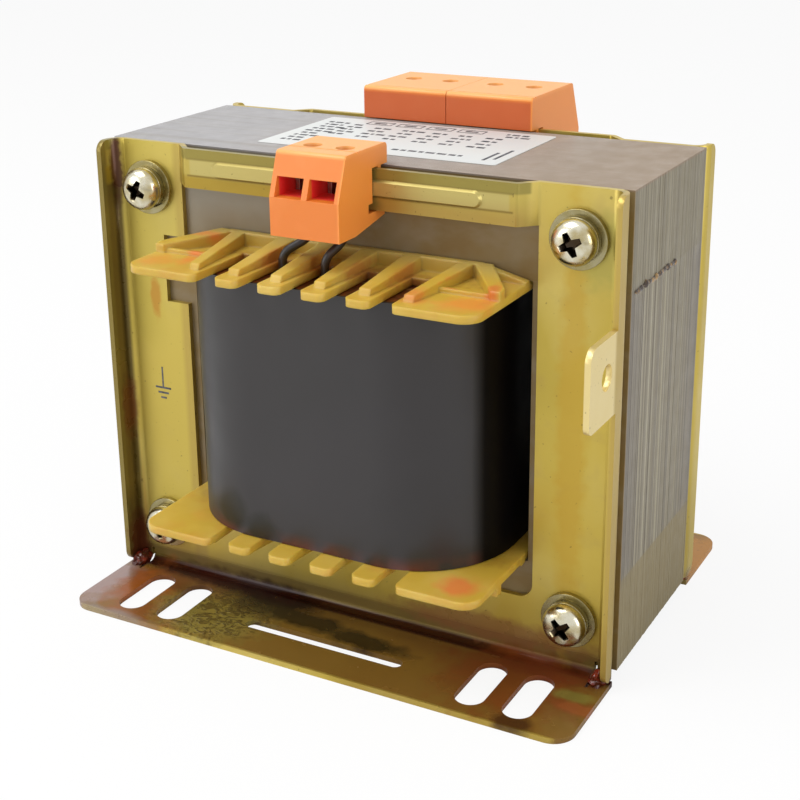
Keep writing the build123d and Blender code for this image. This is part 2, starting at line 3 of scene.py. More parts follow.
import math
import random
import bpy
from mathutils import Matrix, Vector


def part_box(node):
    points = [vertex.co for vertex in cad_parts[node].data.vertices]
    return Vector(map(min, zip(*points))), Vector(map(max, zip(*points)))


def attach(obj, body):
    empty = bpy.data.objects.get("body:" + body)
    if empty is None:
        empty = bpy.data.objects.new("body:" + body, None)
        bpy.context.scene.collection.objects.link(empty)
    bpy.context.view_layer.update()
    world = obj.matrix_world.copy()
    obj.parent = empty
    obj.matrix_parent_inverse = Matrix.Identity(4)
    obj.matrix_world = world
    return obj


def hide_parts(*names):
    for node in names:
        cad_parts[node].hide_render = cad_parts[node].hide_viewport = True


bl_info = {
    "name": "Laminated chassis transformer",
    "version": (1, 0, 0),
    "blender": (4, 5, 0),
    "location": "View3D > Sidebar > Transformer",
    "description": "Builds the visible pieces and finishes of a laminated chassis transformer",
    "category": "Object",
}

import bmesh
import bpy
from bpy.props import FloatProperty, FloatVectorProperty, IntProperty, PointerProperty
from mathutils import Matrix, Vector, noise

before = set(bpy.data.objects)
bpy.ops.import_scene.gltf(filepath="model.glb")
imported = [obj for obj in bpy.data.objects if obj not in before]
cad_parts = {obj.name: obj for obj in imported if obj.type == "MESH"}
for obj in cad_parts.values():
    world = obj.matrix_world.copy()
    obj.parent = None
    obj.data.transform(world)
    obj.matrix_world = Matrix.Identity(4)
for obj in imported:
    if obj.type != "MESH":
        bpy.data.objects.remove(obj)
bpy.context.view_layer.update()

MM = 0.001
BODY = "root"

# Millimetres, with the bolts' lean in degrees and the bead's length as a share of the stack's depth
BOLT_PLACES = [(x, z) for x in (-62.5, 62.5) for z in (15.5, 115.5)]
BOLT_LEAN = (15, -24, 40, 26)
BEAD_MARGIN = 2
BEAD_SHARE = 0.65
BEAD_TAPER = 2
LUMP_PLACES = [(x, y) for x in (-72, 72) for y in (-31.5, 31.5)]
LUMP_RADII = (2.3, 3.6, 2.6)
LUMP_HEIGHT = 2.3
LUMP_FLOOR = 0.7
EARTH_PLACE = (-62.5, -28.5, 57)
EARTH_BARS = ((0, 3.2, 0.55, 6.2), (0, 0, 5.4, 0.6), (0, -1.5, 3.7, 0.6), (0, -3.0, 2.0, 0.6))
EARTH_INK = 0.04
PRINT_INK = 0.03
FINGER_PLACES = (-18.6, -6.2, 6.2, 18.6)

# Metres, and the share of its own light in what the camera sees of the floor
FLOOR_RADIUS = 12
FLOOR_GLOW = 0.88
LIGHT_AIM = (0, 0, 0.06)


# Settings that a user would change

def hex_colour(code):
    """An sRGB hex value as linear red, green, blue and alpha."""
    channels = [int(code[i:i + 2], 16) / 255 for i in (1, 3, 5)]
    linear = [c / 12.92 if c <= 0.04045 else ((c + 0.055) / 1.055) ** 2.4 for c in channels]
    return (*linear, 1.0)


def colour(name, description, code):
    """A colour property whose default is an sRGB hex value."""
    return FloatVectorProperty(name=name, description=description, subtype="COLOR", size=4,
                               min=0.0, max=1.0, default=hex_colour(code))


def length(name, description, millimetres):
    """A length property whose default is given in millimetres."""
    return FloatProperty(name=name, description=description, unit="LENGTH", subtype="DISTANCE",
                         min=0.0, precision=5, default=millimetres * MM)


def turn(name, description, degrees):
    """An angle property whose default is given in degrees."""
    return FloatProperty(name=name, description=description, unit="ROTATION", subtype="ANGLE",
                         default=math.radians(degrees))


class CoreSettings(bpy.types.PropertyGroup):
    """Sizes of the punched sheets and of the varnish on their seam."""

    packets: IntProperty(name="Packets", description="Packets of like sheets in the stack", min=1, default=18)
    sheets: IntProperty(name="Sheets", description="Sheets in each packet", min=1, default=6)
    centre_leg: length("Centre leg", "Width of the middle leg of an E sheet", 50)
    window_width: length("Window width", "Width of the gap between two legs", 25)
    window_height: length("Window height", "Height of the gap between two legs", 75)
    yoke: length("Yoke", "Height of an I sheet and of the yoke of an E sheet", 25)
    hole: length("Bolt hole", "Diameter of the holes for the clamp bolts", 6.6)
    hole_inset: length("Hole inset", "Distance of the holes from the edges", 12.5)
    edge: length("Sheet edge", "Round left on a sheet's edge by the punch and the varnish", 0.07)
    wander: length("Wander", "How far a sheet may sit off the true line", 0.05)
    bead_height: length("Bead height", "Height of the varnish bead along the side seam", 2.2)
    bead_proud: length("Bead depth", "How far the varnish bead stands out of the side", 0.7)


class CoilSettings(bpy.types.PropertyGroup):
    """Sizes of the outer wrap of the coil."""

    wrap_wall: length("Wrap", "Thickness of the outer wrap", 0.8)
    wrap_corner: length("Corner", "Radius of the coil's upright corners", 26.6)
    swell: length("Swell", "How uneven the wrap lies over the wires", 0.3)
    overlap: length("Overlap", "Length of the doubled end of the wrap at the rear", 24)
    overlap_step: length("Overlap step", "Thickness of the doubled end", 0.35)


class BoltSettings(bpy.types.PropertyGroup):
    """Sizes of the clamp bolts."""

    head: length("Head", "Diameter of the pan head", 11.6)
    head_height: length("Head height", "Height of the pan head", 3.8)
    shank: length("Shank", "Outer diameter of the thread", 6)
    pitch: length("Pitch", "Distance from one thread to the next, drawn as plain rings", 1.0)
    thread_turns: IntProperty(name="Threads", description="Rings cut at the bolt's end", min=1, default=4)
    recess: length("Recess", "Span of the cross recess", 6.6)
    recess_width: length("Recess width", "Width of one arm of the recess", 1.5)
    recess_depth: length("Recess depth", "Depth of the recess", 2.2)


class EdgeSettings(bpy.types.PropertyGroup):
    """Rounds on the edges of the rigid pieces."""

    pressing: length("Pressing", "Round on the cut edges of the frames", 0.22)
    moulding: length("Moulding", "Round on the edges of the bobbin", 0.5)
    housing: length("Housing", "Round on the edges of the terminal blocks", 0.3)
    turned: length("Turned", "Round on bolts, nuts and washers", 0.14)


class ColourSettings(bpy.types.PropertyGroup):
    """Main colours of the finishes."""

    zinc: colour("Passivated zinc", "Olive yellow of the passivated frames", "#C4AC4C")
    steel: colour("Core steel", "Grey of the varnished sheet edges", "#7E7663")
    nylon: colour("Bobbin nylon", "Cream of the natural nylon", "#C4A238")
    wrap: colour("Coil wrap", "Near black of the varnished wrap", "#262323")
    copper: colour("Enamelled copper", "Red brown of the winding wire", "#7A3A1C")
    plating: colour("Fastener plating", "Pale yellow grey of the fasteners", "#D2CDB8")
    housing: colour("Terminal plastic", "Orange of the terminal blocks", "#DF7B28")
    clamp: colour("Clamp metal", "Grey of the clamp cages and screws", "#B9B4A8")
    sleeve: colour("Lead sleeve", "Black brown of the leads", "#1E1916")
    paper: colour("Label", "White of the label", "#D6D8D6")
    ink: colour("Print", "Grey of the print on the label", "#2C2C32")


class StageSettings(bpy.types.PropertyGroup):
    """The camera, the floor and the light."""

    azimuth: turn("Azimuth", "Camera's turn about the part, from the front towards +X", 28.51)
    elevation: turn("Elevation", "Camera's height over the horizon", 18.16)
    roll: turn("Roll", "Camera's turn about its own axis", -0.64)
    distance: length("Distance", "Distance from the camera to the point that it aims at", 410.3)
    aim_x: FloatProperty(name="Aim X", description="X of that point", unit="LENGTH", default=-1.2 * MM)
    aim_height: length("Aim height", "Height of that point", 77.8)
    lens: FloatProperty(name="Lens", description="Focal length", unit="CAMERA", default=66.6)
    shift: FloatProperty(name="Shift", description="Upward shift of the picture", default=-0.1)
    key_power: FloatProperty(name="Key light", description="Power of the lamp", unit="POWER", default=7.0)
    fill_power: FloatProperty(name="Fill light", description="Power of the lamp", unit="POWER", default=3.0)
    side_power: FloatProperty(name="Side light", description="Power of the lamp", unit="POWER", default=3.2)
    ambient: FloatProperty(name="Ambient", description="Strength of the surrounding light", default=0.62)


class TransformerSettings(bpy.types.PropertyGroup):
    """Everything that the operators read."""

    core: PointerProperty(type=CoreSettings)
    coil: PointerProperty(type=CoilSettings)
    bolt: PointerProperty(type=BoltSettings)
    edges: PointerProperty(type=EdgeSettings)
    colours: PointerProperty(type=ColourSettings)
    stage: PointerProperty(type=StageSettings)


# Nodes of the materials, in which a socket's id_data is the tree that it is in

def add_node(tree, kind, settings=None, links=None):
    """Adds a node, sets its properties or input values, and links other sockets into it."""
    node = tree.nodes.new(kind)
    for key, value in (settings or {}).items():
        if isinstance(key, str) and hasattr(node, key):
            setattr(node, key, value)
        else:
            node.inputs[key].default_value = value
    for key, source in (links or {}).items():
        tree.links.new(source, node.inputs[key])
    return node


def start_finish(name, **sockets):
    """A new material with constants on its shader, and the piece's own coordinates."""
    material = bpy.data.materials.new(name)
    material.use_nodes = True
    tree = material.node_tree
    shader = tree.nodes["Principled BSDF"]
    for key, value in sockets.items():
        shader.inputs[key.replace("_", " ")].default_value = value
    place = add_node(tree, "ShaderNodeTexCoord").outputs["Object"]
    return material, shader, place


def mottle(place, size, low=0.4, high=0.6, stretch=(1, 1, 1), seed=0.0, detail=4.0, swirl=0.0):
    """A mask of soft blotches, whose usual size is given in millimetres; swirl curls them."""
    scale = [1 / (size * MM * s) for s in stretch]
    mapped = add_node(place.id_data, "ShaderNodeMapping", {"Scale": scale}, {"Vector": place})
    settings = {"noise_dimensions": "4D", "W": seed, "Scale": 1.0, "Detail": detail, "Distortion": swirl}
    cloud = add_node(place.id_data, "ShaderNodeTexNoise", settings, {"Vector": mapped.outputs[0]})
    return remap(cloud.outputs[0], low, high)


def remap(value, low, high, start=0.0, end=1.0):
    """A value that runs from start to end while its source runs from low to high."""
    settings = {"From Min": low, "From Max": high, "To Min": start, "To Max": end}
    return add_node(value.id_data, "ShaderNodeMapRange", settings, {"Value": value}).outputs[0]


def patch(place, centre, radii, edge=0.4, rag=0.35, seed=0.0):
    """A mask of one stain: an ellipsoid in millimetres, eaten into by noise at its edge."""
    settings = {"vector_type": "TEXTURE", "Location": [c * MM for c in centre]}
    settings["Scale"] = [r * MM for r in radii]
    mapped = add_node(place.id_data, "ShaderNodeMapping", settings, {"Vector": place})
    round_ball = {"gradient_type": "SPHERICAL"}
    ball = add_node(place.id_data, "ShaderNodeTexGradient", round_ball, {"Vector": mapped.outputs[0]})
    eaten = mottle(place, max(2.5, min(radii)), 0.3, 0.7, seed=seed)
    loss = remap(eaten, 0, 1, 0, rag)
    left = add_node(place.id_data, "ShaderNodeMath", {"operation": "SUBTRACT"}, {0: ball.outputs[1], 1: loss})
    return remap(left.outputs[0], 0.0, edge)


def side_of(place, axis, start, end):
    """A mask that rises from 0 to 1 along one axis between two places in millimetres."""
    parts = add_node(place.id_data, "ShaderNodeSeparateXYZ", None, {"Vector": place})
    return remap(parts.outputs[axis], start * MM, end * MM)


def zone(place, low, high, soft=1.0):
    """A mask of a box with soft faces; None leaves the box open on that side."""
    masks = []
    for axis, (start, end) in enumerate(zip(low, high)):
        if start is not None:
            masks.append(side_of(place, axis, start - soft / 2, start + soft / 2))
        if end is not None:
            masks.append(side_of(place, axis, end + soft / 2, end - soft / 2))
    return product(*masks)


def product(*masks):
    """Masks multiplied together."""
    result = masks[0]
    for mask in masks[1:]:
        pair = {0: result, 1: mask}
        result = add_node(mask.id_data, "ShaderNodeMath", {"operation": "MULTIPLY"}, pair).outputs[0]
    return result


def thickest(film, mask, amount):
    """The thicker of a film and of a mask with so much varnish in it."""
    if amount == 0:
        return film
    laid = remap(mask, 0, 1, 0, amount)
    if film is None:
        return laid
    return add_node(laid.id_data, "ShaderNodeMath", {"operation": "MAXIMUM"}, {0: film, 1: laid}).outputs[0]


def tint(base, code, mask, strength):
    """Lays a colour over another where a mask says so."""
    factor = remap(mask, 0, 1, 0, strength)
    settings = {"data_type": "RGBA", 7: hex_colour(code)}
    return add_node(base.id_data, "ShaderNodeMix", settings, {0: factor, 6: base}).outputs[2]


def layered(first, *layers):
    """A first colour with others laid over it in turn, each with its mask and its strength."""
    base = first
    if not isinstance(first, bpy.types.NodeSocket):
        node = add_node(layers[0][1].id_data, "ShaderNodeRGB")
        node.outputs[0].default_value = hex_colour(first) if isinstance(first, str) else tuple(first)
        base = node.outputs[0]
    for code, mask, strength in layers:
        base = tint(base, code, mask, strength)
    return base


def connect(shader, socket, value):
    """Links a value into one of the shader's inputs."""
    value.id_data.links.new(value, shader.inputs[socket])


def drive(shader, socket, mask, start, end):
    """Lets a mask run one of the shader's inputs from start to end."""
    connect(shader, socket, remap(mask, 0, 1, start, end))


def blotched_finish(name, main, second, blotch, strength, seed, stretch=(1, 1, 1), **sockets):
    """A material of one colour with blotches of a second; blotch holds their size, start and end."""
    material, shader, place = start_finish(name, **sockets)
    base = layered(main, (second, mottle(place, *blotch, stretch, seed=seed), strength))
    connect(shader, "Base Color", base)
    return material


def relief(shader, height, depth, softened=0.0):
    """Bump from a mask, with its depth in millimetres, over edges that look as round as is given."""
    links = {"Height": height}
    if softened:
        edges = add_node(height.id_data, "ShaderNodeBevel", {"samples": 6, "Radius": softened * MM})
        links["Normal"] = edges.outputs[0]
    bump = add_node(height.id_data, "ShaderNodeBump", {"Strength": 1.0, "Distance": depth * MM}, links)
    connect(shader, "Normal", bump.outputs[0])


# Finishes

# Each zone of the frames: colour, lowest and highest corner, how soft it ends, how strong it is,
# and how much varnish lies on the metal there
ZINC_ZONES = (
    ("#C6B154", (-71, -30, None), (-51, -27, None), 4, 0.75, 0),
    ("#A98E48", (-54.5, -30, None), (-50, -26, None), 1.5, 0.6, 0),
    ("#A79C50", (-70, -30, 98), (-51, -27, None), 16, 0.6, 0),
    ("#A5953A", (-72, -30, 70), (-62, -27, None), 7, 0.45, 0),
    # The left flange's inner face, darkened as painted shade, with some varnish film
    ("#6E5A2A", (None, -36, None), (-72.6, -29.6, None), 1.2, 0.92, 0.4),
    ("#8A7B3C", (None, -36, None), (-73.2, -33.4, None), 0.8, 0.6, 0.2),
    # The left flange's inner bend, a dark line of painted shade, with some varnish film
    ("#463610", (-73.6, -31, None), (-72.2, -28.6, None), 0.8, 0.8, 0.5),
    ("#B09C4A", (None, -33, 116), (51, -30.5, None), 1.0, 0.8, 0.1),
    ("#857A3A", (None, -33, 125.3), (51, -30, None), 0.5, 0.8, 0.2),
    ("#B6A866", (-46, -35, 121), (46, -32, 125.2), 0.6, 0.9, 0),
    ("#A18526", (None, -33.5, 116), (2, -30.5, 120.8), 1.2, 0.85, 0.3),
    ("#8F6430", (-8, -33.5, 116), (51, -30.5, 120.8), 6.0, 0.85, 0.4),
    ("#6E5A20", (-47, -33.6, 120.6), (47, -30.5, 121.1), 0.4, 0.75, 0.3),
    ("#7E7036", (-47, -33.6, 125.1), (47, -30.5, 125.6), 0.4, 0.7, 0.3),
    ("#AE934E", (73.6, -37, None), (None, -27.5, None), 1.2, 0.75, 0.1),
    # The right flange's inner bend, darkened as painted shade, with a little varnish film
    ("#7A6A28", (71.2, -34.4, None), (73.4, -28.6, None), 1.0, 0.7, 0.2),
    ("#E0CC90", (73, -60, 74), (None, -36, 98), 1.5, 0.9, 0.1),
    ("#7C5C26", (None, -60, None), (None, -30.5, 1.9), 0.7, 0.95, 0.6),
    ("#7C5C26", (None, 30.5, None), (None, 60, 1.9), 0.7, 0.9, 0.6),
    ("#74501F", (12, None, None), (None, -31, 1.9), 8, 0.6, 0.6),
    ("#7E6A4C", (None, -29.2, 5), (None, -28, 9), 3.0, 0.6, 0.5),
    # Just above the foot's fold, darkened where the bend would shine, as painted shade, and varnished
    ("#4C3626", (None, -30.8, 2.8), (None, -28, 6.4), 1.6, 0.9, 0.95),
    # The fold itself: a maroon line of varnish in the crease, darkened further as painted shade
    ("#34100C", (None, -32.2, None), (None, -28.4, 3.2), 1.0, 0.97, 1.0),
    ("#5E4A34", (None, 29.2, None), (None, 34, 4.5), 2.5, 0.7, 0.8),
)
# Each stain: colour, centre, radii, how strong it is, and how much varnish it is
ZINC_STAINS = (
    ("#4A2412", (-72.4, -30, 120), (2.4, 3, 16), 0.9, 0.6),
    ("#6E3A1A", (-73, -31, 50), (3, 4, 14), 0.7, 0.6),
    ("#5A2A18", (-73, -31, 8), (4, 6, 14), 0.9, 0.8),
    ("#BC9830", (61.5, -28.5, 66), (6, 4, 90), 0.6, 0),
    ("#A69E4C", (70, -28.5, 112), (14, 4, 14), 0.6, 0),
    ("#B8822A", (-63, -28.8, 84), (2.6, 3, 9), 0.8, 0.4),
    ("#8A5A38", (40, -28.6, 7), (40, 3, 6), 0.7, 0.5),
)
# The same for the puddles on the feet, whose centres and radii share their third value
FOOT_FACE = 1.5
FOOT_REACH = 5
FOOT_PUDDLES = (
    ("#A08A86", -77, -47, 17, 22, 0.95, 0.7),
    ("#94501F", -61, -43, 13, 24, 0.9, 0.8),
    ("#86502A", -48, -57, 18, 10, 0.75, 0.8),
    ("#8E8078", -62, -61.5, 26, 5, 0.7, 0.5),
    ("#7F7434", -34, -49, 24, 18, 0.95, 0.6),
    ("#5E3A20", -50, -36, 22, 10, 0.8, 0.9),
    ("#1C0905", -24, -35, 19, 15, 1.0, 1.0),
    ("#2E0F0A", -38, -31, 44, 6, 0.95, 1.0),
    ("#22100A", -8, -39.5, 19, 6, 0.95, 1.0),
    ("#22100A", 10, -42, 19, 5.5, 0.95, 1.0),
    ("#7A3E1A", 52, -42, 28, 24, 0.85, 0.8),
    ("#6E3218", 60, -33, 20, 7, 0.75, 0.9),
    ("#87803A", 69, -41, 8, 4, 0.7, 0.4),
    ("#96502A", 72, -45.5, 9, 4, 0.7, 0.8),
    ("#3E2210", 60, -58.5, 8, 5, 0.85, 0.9),
    ("#6A5A44", 30, 45, 40, 16, 0.6, 0.7),
    ("#C88A3A", 77, 48, 18, 24, 0.85, 0.2),
    ("#A08A50", -40, 50, 36, 12, 0.6, 0.4),
)


def passivated_zinc(colours):
    """Zinc-plated pressed steel with a yellow chromate film, dipped in varnish with the coil.

    The film gives a satin metal of uneven olive yellow, and the varnish leaves brown runs and puddles. The
    left flange's inner face, the inner bends of both flanges and the fold above the front foot are also
    darkened as painted shade.
    """
    material, shader, place = start_finish("yellow_passivated_zinc")
    base = layered(
        colours.zinc,
        ("#B09A3C", mottle(place, 42, 0.4, 0.65, seed=1, detail=2), 0.5),
        ("#CDBD76", mottle(place, 26, 0.48, 0.68, (1, 1, 1.8), seed=2, detail=3), 0.5),
        ("#A98F52", mottle(place, 7, 0.55, 0.75, seed=3), 0.3))
    film = None
    for code, low, high, soft, strength, varnish in ZINC_ZONES:
        mask = zone(place, low, high, soft)
        base = tint(base, code, mask, strength)
        film = thickest(film, mask, varnish)
    puddles = [(code, (x, y, FOOT_FACE), (across, deep, FOOT_REACH), strength, varnish)
               for code, x, y, across, deep, strength, varnish in FOOT_PUDDLES]
    for i, (code, centre, radii, strength, varnish) in enumerate((*ZINC_STAINS, *puddles)):
        mask = patch(place, centre, radii, seed=10 + i)
        base = tint(base, code, mask, strength)
        film = thickest(film, mask, varnish)
    pool = patch(place, (-34, -48, FOOT_FACE), (23, 18, FOOT_REACH), 0.3, seed=40)
    curls = mottle(place, 2.8, 0.45, 0.6, (1.5, 1, 1), seed=41, detail=2, swirl=2.5)
    whorls = product(pool, curls)
    specks = mottle(place, 1.1, 0.7, 0.76, seed=4, detail=1)
    base = layered(base, ("#9A8848", pool, 0.25), ("#3E2A12", whorls, 0.75), ("#5A4A26", specks, 0.5))
    connect(shader, "Base Color", base)
    drive(shader, "Metallic", film, 0.6, 0.05)
    drive(shader, "Specular IOR Level", film, 0.5, 0.18)
    rough = mottle(place, 9, 0.3, 0.7, seed=5)
    satin = product(remap(rough, 0, 1, 0.32, 0.44), remap(film, 0, 1, 1.0, 0.45))
    connect(shader, "Roughness", satin)
    heights = {0: mottle(place, 4, 0.2, 0.8, seed=6, detail=2), 1: remap(whorls, 0, 1, 0, 7)}
    wavy = add_node(place.id_data, "ShaderNodeMath", {"operation": "ADD"}, heights)
    relief(shader, wavy.outputs[0], 0.02)
    return material


def core_steel(colours):
    """Punched silicon steel sheets, stacked and soaked in varnish.

    Each cut edge catches the light a little differently, which gives fine streaks along the sheets. Some of
    the streaks are drawn wider than the sheets' 0.5 mm, so that they show in the picture.
    """
    material, shader, place = start_finish("varnished_core_steel", Metallic=0.3)
    sides = layered(
        colours.steel,
        ("#B8B098", mottle(place, 1.1, 0.4, 0.6, (2000, 1, 2000), seed=20, detail=3), 0.7),
        ("#595048", mottle(place, 3.5, 0.36, 0.64, (300, 1, 300), seed=21), 0.6),
        ("#7F7761", side_of(place, 2, 102.75, 103.25), 0.5),
        ("#8A7C58", side_of(place, 2, 28.25, 27.75), 0.8),
        ("#6C6560", zone(place, (None, None, 28), (None, -19, 103), 6), 0.5),
        ("#6C6560", zone(place, (None, 20, 28), (None, None, 103), 6), 0.5))
    face = layered(
        sides,
        ("#7A6336", mottle(place, 16, 0.1, 0.5, seed=24, detail=3), 0.9),
        ("#8A7E68", mottle(place, 12, 0.5, 0.7, (1, 1, 0.5), seed=23), 0.5),
        ("#8F8B80", zone(place, (None, None, 106), (-10, None, None), 14), 0.7))
    upper = layered(
        sides,
        ("#9B999A", mottle(place, 2.5, 0.0, 0.5, (40, 1, 1), seed=25), 1.0),
        ("#86725A", side_of(place, 0, -45, 60), 0.9))
    front = side_of(place, 1, -26.55, -26.85)
    top = side_of(place, 2, 127.35, 127.65)
    base = sides
    for mask, coat in ((front, face), (top, upper)):
        coats = {0: mask, 6: base, 7: coat}
        base = add_node(place.id_data, "ShaderNodeMix", {"data_type": "RGBA"}, coats).outputs[2]
    connect(shader, "Base Color", base)
    drive(shader, "Roughness", mottle(place, 5, 0.3, 0.7, seed=26), 0.34, 0.5)
    return material


def seam_varnish():
    """Impregnating varnish that ran out of the seam and set in beads, dark amber and glossy."""
    return blotched_finish("amber_varnish", "#35220F", "#A88346", (2.2, 0.5, 0.6), 0.8, 30,
                           Roughness=0.22, IOR=1.52)


def corner_varnish():
    """Impregnating varnish that ran down the frames and set in lumps, red brown and glossy."""
    return blotched_finish("red_brown_varnish", "#46160C", "#8E2C16", (2.4, 0.48, 0.66), 0.7, 35,
                           Roughness=0.2, IOR=1.52)


# Each stain: colour, centre, radii and how strong it is
NYLON_STAINS = (
    ("#E0742C", (-37, -45, 105), (4.5, 14, 4), 0.85),
    ("#DD8E38", (-44, -51, 104), (9, 8, 4), 0.6),
    ("#D98038", (-42, -33, 105), (11, 3.5, 4), 0.7),
    ("#D05A30", (47, -44, 104), (3, 9, 4), 0.6),
    ("#E08A34", (43, -50, 103), (10, 9, 4), 0.7),
    ("#D8703A", (31, -52, 104), (7, 6, 4), 0.5),
    ("#D8603A", (36, -44, 105.5), (4, 12, 2.5), 0.7),
    ("#DE6C38", (42, -51, 30), (8, 7, 5), 0.7),
    ("#D99A48", (-34, -46, 27), (12, 9, 6), 0.5),
    ("#7A3018", (0, -36, 101.5), (70, 7, 2.5), 0.75),
    ("#7A3018", (0, -34, 30), (70, 9, 5), 0.6),
)


def bobbin_nylon(colours):
    """Injection-moulded natural nylon, a cloudy cream that lets some light in.

    Varnish has soaked into its corners and left orange and red stains.
    """
    material, shader, place = start_finish(
        "natural_nylon", Roughness=0.42, IOR=1.53, Subsurface_Weight=0.45, Subsurface_Scale=2.5 * MM,
        Subsurface_Radius=(1.0, 0.75, 0.35))
    base = layered(
        colours.nylon,
        ("#D6BA60", mottle(place, 14, 0.45, 0.7, seed=40, detail=2), 0.6),
        ("#C48A34", mottle(place, 11, 0.52, 0.7, seed=41, detail=2), 0.45),
        ("#B09C58", zone(place, (None, -36, 103.4), (None, 36, None), 7), 0.65))
    for i, x in enumerate(FINGER_PLACES):
        soaked = patch(place, (x + 2.5, -39, 104), (2.4, 12, 4), 0.5, seed=70 + i)
        base = tint(base, "#B2602C", soaked, 0.6)
    for i, (code, centre, radii, strength) in enumerate(NYLON_STAINS):
        base = tint(base, code, patch(place, centre, radii, 0.5, seed=50 + i), strength)
    connect(shader, "Base Color", base)
    relief(shader, mottle(place, 1.4, 0.2, 0.8, seed=42), 0.015, softened=0.9)
    return material


def coil_wrap(colours):
    """Black insulating wrap, drawn tight and coated with varnish, smooth and softly shining; its left corner
    is painted lighter as a painted sheen and its right painted darker as painted shade.
    """
    material, shader, place = start_finish("varnished_black_wrap", IOR=1.5)
    low = side_of(place, 2, 34.5, 30.5)
    painted_shade_end = side_of(place, 0, 40.2, 42.2)  # the right end, painted near black with its reflection turned down, as painted shade
    base = layered(
        colours.wrap,
        ("#2E2A2C", mottle(place, 30, 0.4, 0.65, seed=60, detail=2), 0.5),
        # Lighter at the left corner, a painted sheen
        ("#3A3A3C", zone(place, (None, -48, None), (-27, None, None), 6), 0.6),
        # Darker towards the right, painted shade
        ("#1C1919", side_of(place, 0, -5, 30), 0.5),
        ("#5E2A1C", product(low, mottle(place, 8, 0.35, 0.6, seed=61)), 0.8),
        ("#100F06", patch(place, (-25, -50.5, 37), (8, 9, 7), 0.3, seed=62), 0.85),
        ("#100F06", patch(place, (-14, -50.5, 32.5), (8, 9, 7), 0.3, seed=63), 0.85),
        # The right end near black, painted shade
        ("#080606", painted_shade_end, 1.0))
    connect(shader, "Base Color", base)
    drive(shader, "Specular IOR Level", painted_shade_end, 0.5, 0.08)
    drive(shader, "Roughness", mottle(place, 14, 0.3, 0.7, seed=63, detail=2), 0.36, 0.46)
    relief(shader, mottle(place, 9, 0.2, 0.8, (1, 1, 0.7), seed=64, detail=2), 0.03)
    return material


def enamelled_copper(colours):
    """Enamelled copper wire, wound in tight layers and soaked in varnish, red brown with dark gaps."""
    return blotched_finish("enamelled_copper", colours.copper, "#3A1710", (1.2, 0.4, 0.6), 0.8, 70,
                           (1, 1, 6), Metallic=0.5, Roughness=0.35)


def layer_tape():
    """Polyester tape wound between the windings, pale where the varnish has not stained it brown."""
    return blotched_finish("polyester_tape", "#A88A50", "#6A4020", (6, 0.4, 0.6), 0.7, 75, Roughness=0.4)


def zinc_plating(colours):
    """Bright zinc plating on steel fasteners, with a thin yellow cast where varnish touched it.

    Washers and nuts are yellower than the heads, and the floor of each recess is painted dark as painted
    shade.
    """
    material, shader, place = start_finish("bright_zinc_plating", Metallic=1.0)
    base = layered(
        colours.plating,
        ("#A8955A", mottle(place, 4, 0.42, 0.62, seed=80), 0.7),
        ("#857A48", side_of(place, 1, -32.2, -31.4), 0.75))
    sunk = side_of(place, 1, -35.1, -34.8)
    # The floor of each recess, darkened as painted shade
    for x, z in BOLT_PLACES:
        recess = patch(place, (x, -34, z), (3.4, 60, 3.4), 0.05, 0)
        base = tint(base, "#2A1A12", product(recess, sunk), 0.95)
    connect(shader, "Base Color", base)
    drive(shader, "Roughness", mottle(place, 2.5, 0.3, 0.7, seed=81), 0.16, 0.32)
    return material


def terminal_polyamide(colours):
    """Orange polyamide, injection-moulded in a spark-eroded tool, whose fine grain softens its shine.

    The tops are painted paler as painted light, the rear blocks' front faces darker as painted shade, the
    right sides brighter as painted light, and the ports bright red as painted light that passes through the
    orange walls.
    """
    material, shader, place = start_finish(
        "orange_polyamide", Roughness=0.4, IOR=1.53, Subsurface_Weight=0.15, Subsurface_Scale=1.5 * MM,
        Subsurface_Radius=(1.0, 0.5, 0.2))
    base = layered(
        colours.housing,
        ("#EE8F48", mottle(place, 9, 0.45, 0.7, seed=90), 0.4),
        # Paler tops, painted light from above
        ("#F2AC5E", zone(place, (None, None, 132.8), (None, 0, None), 0.8), 0.95),
        ("#F2AC5E", zone(place, (None, 0, 136.6), (None, None, None), 0.8), 0.95),
        # The rear blocks' front faces, darkened as painted shade
        ("#B8461A", zone(place, (None, 20, None), (None, 26.6, 136), 0.8), 0.7),
        # The right sides of the blocks, brightened as painted light
        ("#F09440", zone(place, (9.3, None, None), (12, 0, None), 0.4), 0.8),
        ("#F09440", zone(place, (25.8, 0, None), (28, None, None), 0.4), 0.8),
        # Inside the ports, bright red as painted light that passes through the orange walls
        ("#F2323C", zone(place, (-9, -47.4, 122.4), (9, -34, 127.9), 0.7), 0.9))
    connect(shader, "Base Color", base)
    relief(shader, mottle(place, 0.5, 0.2, 0.8, seed=91, detail=2), 0.008)
    return material


def clamp_plating(colours):
    """Zinc plating on pressed cages and slotted screws, a grey metal dulled inside its housing."""
    return blotched_finish("clamp_plating", colours.clamp, "#857C6A", (2, 0.4, 0.6), 0.6, 95,
                           Metallic=1.0, Roughness=0.3)


def lead_sleeve(colours):
    """Extruded black sleeve over the leads, stiff with varnish that browns it and makes it shine a little."""
    return blotched_finish("varnished_sleeve", colours.sleeve, "#3A2618", (4, 0.45, 0.65), 0.7, 100,
                           Roughness=0.34)


def label_film(colours):
    """White film printed and stuck on, with a satin face that the varnish has yellowed a little."""
    return blotched_finish("white_film", colours.paper, "#D8D6CE", (15, 0.5, 0.7), 0.4, 105, Roughness=0.45)


def label_ink(colours):
    """Thermal print, melted onto the film, flat and dull with uneven grey."""
    return blotched_finish("thermal_print", colours.ink, "#7E7E82", (2, 0.4, 0.6), 0.5, 110, Roughness=0.7)


# Meshes

